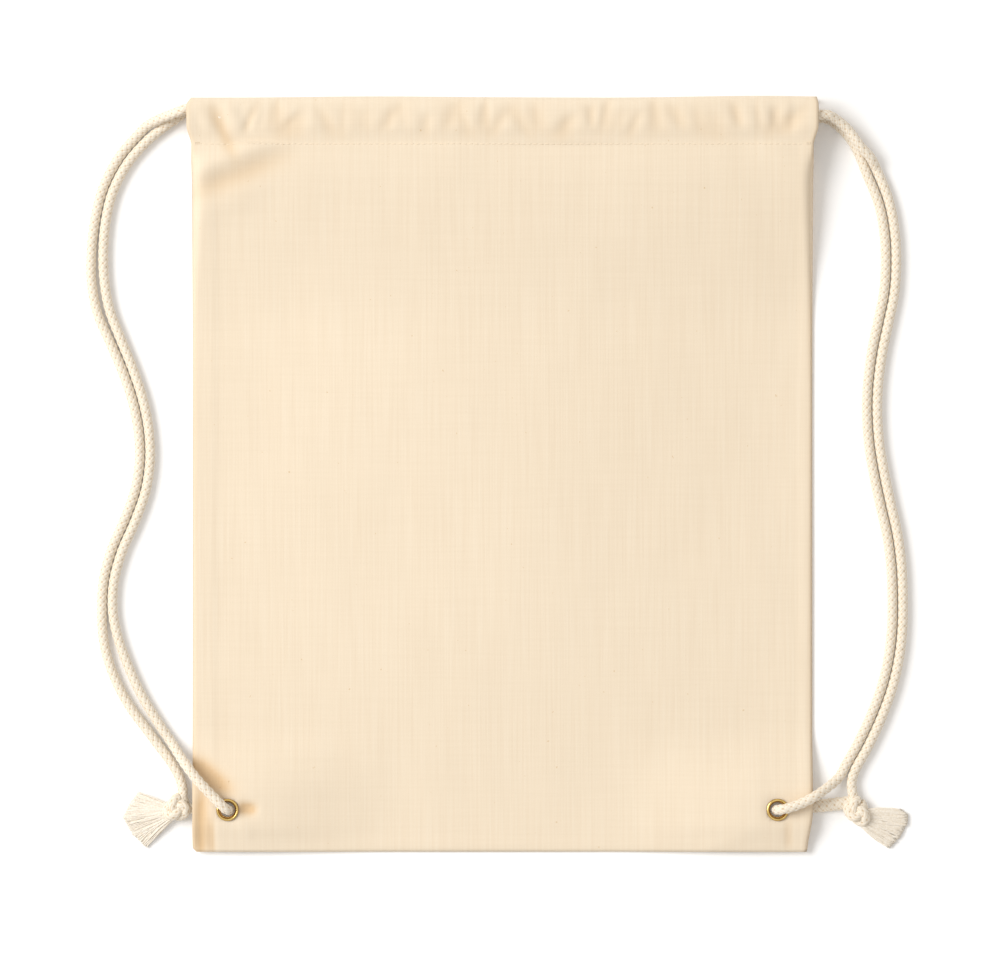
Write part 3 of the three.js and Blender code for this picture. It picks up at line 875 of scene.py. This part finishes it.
# ---------- Channels and eyelet holes ----------
# The channel's section from its stitching, out round the cord and back: y above the stitching, and height
# outwards from the cord's middle line; in millimetres.
CHANNEL_SECTION = [
    (1.0, 1.55), (4.5, 2.0), (8.5, 2.7), (12, 3.25), (16, 3.6), (21, 3.7), (25, 2.95), (27.3, 1.2),
    (27.6, -0.6), (26.4, -2.4), (23, -3.4), (17, -3.6), (10, -3.4), (5, -2.2), (2, 0.2), (0.5, 0.9),
]
SHEET_SPACING = 2.0 * MM
CHANNEL_SPACING = 1.6 * MM
HOLE_RADIUS = 5.5 * MM
CUT_RADIUS = 4.0 * MM
FLANGE_RADIUS = 6.6 * MM
NOTCH_INNER_X = 0.1655
NOTCH_LOW_Y = 0.2055
NOTCH_HIGH_Y = 0.2236


def sheet_stations():
    """The sheet's rows: y, offset from the channel's run (None on the panel), and whether it is outside."""
    rows = int((STITCH_Y - BOTTOM) / SHEET_SPACING)
    panel = [(y, None, True) for y in np.linspace(BOTTOM, STITCH_Y - 0.5 * MM, rows)]
    section = metres([(0, y, z) for y, z in CHANNEL_SECTION])
    channel = [(y + STITCH_Y, z, z > 0) for _, y, z in smooth_path(section, CHANNEL_SPACING)]
    return panel + channel


def shape_channel(z, x, y, stations, is_front):
    """Lay the rows above the stitching round the cord, with gathers and folds outside on the front."""
    side = 1 if is_front else -1
    run_z = FRONT_RUN_Z if is_front else BACK_RUN_Z
    bunched = 1.35 * MM * np.clip(1 - gathers(x, y), -0.2, 1) + add_folds(0, x, y, MOUTH_FOLDS)
    for i, (_, offset, outside) in enumerate(stations):
        if offset is not None:
            z[i] = run_z + side * offset
            if outside and is_front:
                z[i] += bunched[i] * ease(np.array(offset), 1.5 * MM, 3.3 * MM)


def open_eyelets(x, y):
    """Draw points near each eyelet out to its hole; returns x, y and which points are cut away."""
    y_out = y + CHANNEL_TOP_WAVE * waves(x, y * 0, 0.16, 12) * ease(y, TOP - 8 * MM, TOP)
    radius = np.hypot(np.abs(x) - EYELET_X, y - EYELET_Y)
    near = (radius < FLANGE_RADIUS) & (radius > CUT_RADIUS)
    pull = np.where(near, HOLE_RADIUS / np.maximum(radius, 1e-6), 1.0)
    x_out = np.sign(x) * (EYELET_X + (np.abs(x) - EYELET_X) * pull)
    y_out = EYELET_Y + (y_out - EYELET_Y) * pull
    return x_out, y_out, radius <= CUT_RADIUS


def notches(x, y, stations):
    """The slits in the channel's inside, near both mouths, that the cord's half turn passes through."""
    inside = np.array([not outside for _, _, outside in stations])[:, None]
    return inside & (np.abs(x) > NOTCH_INNER_X) & (y > NOTCH_LOW_Y) & (y < NOTCH_HIGH_Y)


def painted_shade_amount(x, y, flat_x, is_front):
    """How much painted shade each point gets, from 0 to 1: near the side edges, and on the front also in
    fold valleys and the channel's gathers.
    """
    depth = 0.36 * ease(HALF_WIDTH - np.abs(flat_x), 3.0 * MM, 0.5 * MM)
    if is_front:
        in_channel = ease(y, STITCH_Y - 4 * MM, STITCH_Y + 4 * MM)
        in_gathers = 0.3 * np.clip(gathers(x, y), 0, 1) * in_channel
        depth = depth + (np.clip(-add_folds(0, x, y, SHADE_PAINTED_FOLDS) / (1.6 * MM), 0, 1) + in_gathers)
    return np.clip(depth, 0, 1)


def cloth_sheet(name, is_front, material):
    """One side of the bag: a sheet with its top turned down to make the channel, and its eyelet holes."""
    columns = 2 * int(HALF_WIDTH / SHEET_SPACING) + 1
    across = np.linspace(-1, 1, columns)[None, :]
    stations = sheet_stations()
    y = np.array([s[0] for s in stations])[:, None] * np.ones((1, columns))
    x = across * half_width(y, across)
    flat_x = across * HALF_WIDTH * np.ones_like(y)
    z = panel_height(x, y, flat_x, is_front)
    shape_channel(z, x, y, stations, is_front)
    x_out, y_out, in_hole = open_eyelets(x, y)
    cut = (in_hole | notches(x_out, y_out, stations)).ravel()
    points = np.stack([x_out, y_out, z], axis=2).reshape(-1, 3)
    faces = grid_faces(len(stations), columns)
    faces = faces[~cut[faces].any(axis=1)]
    if not is_front:
        faces = faces[:, ::-1]
    piece = mesh_object(name, points, faces, material)
    # Painted shade for the canvas's colour, in folds, gathers and near the edges.
    mark(piece, "painted_shade", painted_shade_amount(x, y, flat_x, is_front).ravel())
    remove_vertices(piece, np.setdiff1d(np.arange(len(points)), np.unique(faces)))
    thick = piece.modifiers.new("cloth", "SOLIDIFY")
    thick.thickness = CLOTH
    thick.offset = 0
    apply_modifiers(piece)
    return piece


def cloth(look):
    """The front and back of the bag, each cut as one flat sheet."""
    front = cloth_sheet("front_cloth", True, look)
    back = cloth_sheet("back_cloth", False, look)
    settle(front, "bag", "canvas", "front_panel", "front_channel", "left_side_seam", "right_side_seam")
    settle(back, "bag", "canvas", "back_panel", "back_channel", "bottom_seam")
    return front, back


# ---------- Stitching ----------
THREAD_WIDTH = 0.5 * MM
THREAD_SIDES = 6
THREAD_TAPER = [0.55, 0.85, 1, 1, 1, 0.85, 0.55]
THREAD_DIP = [1, 0.5, 0, 0, 0, 0.5, 1]
STITCH_PITCH = 3.5 * MM
STITCH_LENGTH = 3.0 * MM
TACK_STITCHES = 5
TACK_PITCH = 0.55 * MM
TACK_LENGTH = 2.0 * MM


def stitch(centre, direction, length, lift):
    """One stitch: a short length of thread that dips into the cloth at both ends."""
    steps = np.linspace(-0.5, 0.5, len(THREAD_TAPER))
    direction = np.array(direction, dtype=float)
    line = np.array(centre) + steps[:, None] * direction * length
    line[:, 2] += lift * (1 - (2 * steps) ** 2) - 0.12 * MM
    taper = THREAD_WIDTH / 2 * np.array(THREAD_TAPER)[:, None]
    return capped_tube(tube_points(line, taper, THREAD_SIDES))


def channel_stitches(name, node, surface, side, look):
    """The row of stitches that closes a channel, with a few more stitched across it at each end."""
    rng = np.random.default_rng(17 if side > 0 else 18)
    count = int((2 * HALF_WIDTH - 6 * MM) / STITCH_PITCH)
    parts = []
    for i in range(count):
        x = (i - (count - 1) / 2) * STITCH_PITCH
        y = STITCH_Y - 0.2 * MM + rng.normal(0, 0.08) * MM
        lean = rng.normal(0, 0.05)
        direction = (math.cos(lean), math.sin(lean), 0)
        parts.append(stitch((x, y, surface(x, y)), direction, STITCH_LENGTH, side * 0.16 * MM))
    for end in (-1, 1):
        for i in range(TACK_STITCHES):
            x = end * (HALF_WIDTH - 2.2 * MM - i * TACK_PITCH)
            centre = (x, STITCH_Y, surface(x, STITCH_Y))
            parts.append(stitch(centre, (0.15, 1, 0), TACK_LENGTH, side * 0.2 * MM))
    piece = mesh_object(name, *joined(parts), look)
    # Painted shade at each stitch's ends, where the thread goes into the cloth; none on the bar tacks.
    row = np.tile([*np.repeat(THREAD_DIP, THREAD_SIDES), 1, 1], count)
    mark(piece, "dip", np.concatenate([row, np.zeros(len(piece.data.vertices) - len(row))]))
    settle(piece, "bag", "thread", node)


def surface_finder(piece, from_above):
    """A function that gives the height of a piece's outside over a point, by casting a ray onto it."""
    ray_start = 0.1 if from_above else -0.1
    ray = Vector((0, 0, -1 if from_above else 1))

    def height(x, y):
        hit, place, _, _ = piece.ray_cast(Vector((x, y, ray_start)), ray)
        return place.z if hit else FRONT_RUN_Z
    return height


# ---------- Eyelets ----------
# In millimetres.
EYELET_HOLE = 4.35
WASHER_HOLE = 5.9
BEAD_RADIUS = 0.72
BEAD_TURN = (-60, 190, 22)
# The funnel's and the hole's share of painted light: 0 is painted shade, 0.55 the brass's own colour, 0.95 a
# painted highlight.
FUNNEL_SHADES = [0.8, 0.7]
INNER_SHADE = 0.6
EYELET_SIDES = 96


def arc(centre_r, centre_z, radius, start, end, steps):
    """Points on an arc of a turned section, between two angles in degrees."""
    turn = np.radians(np.linspace(start, end, steps))
    return [(centre_r + radius * math.cos(a), centre_z + radius * math.sin(a)) for a in turn]


def lathe(name, section, centre, material, shades):
    """A ring turned about Z from a closed section of radius and height; `shades` is each point's share of
    painted light, from painted shade to a painted highlight.
    """
    angle = np.linspace(0, 2 * math.pi, EYELET_SIDES, endpoint=False)
    section = metres(section)
    points = np.stack([
        centre[0] + np.cos(angle)[:, None] * section[None, :, 0],
        centre[1] + np.sin(angle)[:, None] * section[None, :, 0],
        np.ones((EYELET_SIDES, 1)) * section[None, :, 1],
    ], axis=2)
    count = len(section)
    faces = []
    for i in range(EYELET_SIDES):
        for j in range(count):
            here, ahead = i * count, (i + 1) % EYELET_SIDES * count
            after = (j + 1) % count
            faces.append((here + j, ahead + j, ahead + after, here + after))
    piece = mesh_object(name, points.reshape(-1, 3), faces, material)
    mark(piece, "polish", np.tile(shades, EYELET_SIDES))
    return piece


def eyelets(look):
    """A rolled front ring with its funnel and barrel, and a flat washer behind it, at each bottom corner."""
    top = EYELET_HIGH[2] / MM
    low = EYELET_LOW[2] / MM
    outside = EYELET_RADIUS / MM
    washer_top = WASHER_TOP / MM
    bead = arc(outside - BEAD_RADIUS, top - BEAD_RADIUS, BEAD_RADIUS, *BEAD_TURN)
    front = [
        *bead, (EYELET_HOLE + 0.6, top - 1.6), (EYELET_HOLE, top - 3.0), (EYELET_HOLE, low + 0.9),
        *arc(EYELET_HOLE + 0.55, low + 0.65, 0.55, 180, 300, 8),
        (EYELET_HOLE + 0.45, low + 1.0), (EYELET_HOLE + 0.45, top - 2.8), (EYELET_HOLE + 1.0, top - 1.6),
    ]
    back = [
        (WASHER_HOLE, low + 0.1), *arc(outside - 0.3, low + 0.35, 0.3, -90, 60, 7),
        *arc(WASHER_HOLE + 0.15, washer_top - 0.22, 0.2, 60, 180, 6),
    ]
    # Painted highlight along the bead's top, fading to painted shade on its outer and inner sides.
    bead_shades = np.clip(np.sin(np.radians(np.linspace(*BEAD_TURN))), 0, 1) ** 2.2
    rest = len(front) - len(bead) - len(FUNNEL_SHADES)
    front_shades = np.concatenate([bead_shades, FUNNEL_SHADES, np.full(rest, INNER_SHADE)])
    back_shades = np.full(len(back), INNER_SHADE)
    for side_name, side in (("left", -1), ("right", 1)):
        centre = (side * EYELET_X, EYELET_Y)
        ring = lathe(f"{side_name}_eyelet_ring", front, centre, look, front_shades)
        washer = lathe(f"{side_name}_eyelet_back", back, centre, look, back_shades)
        settle(ring, "bag", "brass", f"{side_name}_eyelet")
        settle(washer, "bag", "brass", f"{side_name}_eyelet_washer")


# ---------- Studio ----------
FLOOR_HALF = 9
KEY_PLACE = (-3.75, 1.25, 3.95)
KEY_SIZE = 3.4
KEY_WATTS = 244
DOME_STRENGTH = 0.60


def studio():
    """A wide pale floor, one large soft lamp at the upper left, and even light from all round."""
    corners = [(-1, -1), (1, -1), (1, 1), (-1, 1)]
    outline = [(x * FLOOR_HALF, y * FLOOR_HALF, 0) for x, y in corners]
    floor = mesh_object("floor", outline, [(0, 1, 2, 3)], floor_material())
    key = bpy.data.lights.new("key", "AREA")
    key.shape = "DISK"
    key.size = KEY_SIZE
    key.energy = KEY_WATTS
    lamp = bpy.data.objects.new("key", key)
    lamp.location = KEY_PLACE
    lamp.rotation_euler = (-Vector(KEY_PLACE)).to_track_quat("-Z", "Y").to_euler()
    bpy.context.scene.collection.objects.link(lamp)
    world = bpy.data.worlds.new("studio")
    world.use_nodes = True
    dome = world.node_tree.nodes["Background"]
    dome.inputs["Color"].default_value = (*DOME_COLOR, 1)
    dome.inputs["Strength"].default_value = DOME_STRENGTH
    bpy.context.scene.world = world
    bpy.context.scene.view_settings.view_transform = "Standard"


camera()
cord_look = cord_material()
yarn_look = yarn_material()
whole_cord(LEFT, cord_look, yarn_look)
whole_cord(RIGHT, cord_look, yarn_look)
front_cloth, back_cloth = cloth(canvas_material())
bpy.context.view_layer.update()
thread_look = thread_material()
front_surface = surface_finder(front_cloth, True)
channel_stitches("front_stitches", "front_channel_stitching", front_surface, 1, thread_look)
back_surface = surface_finder(back_cloth, False)
channel_stitches("back_stitches", "back_channel_stitching", back_surface, -1, thread_look)
eyelets(brass_material())
studio()
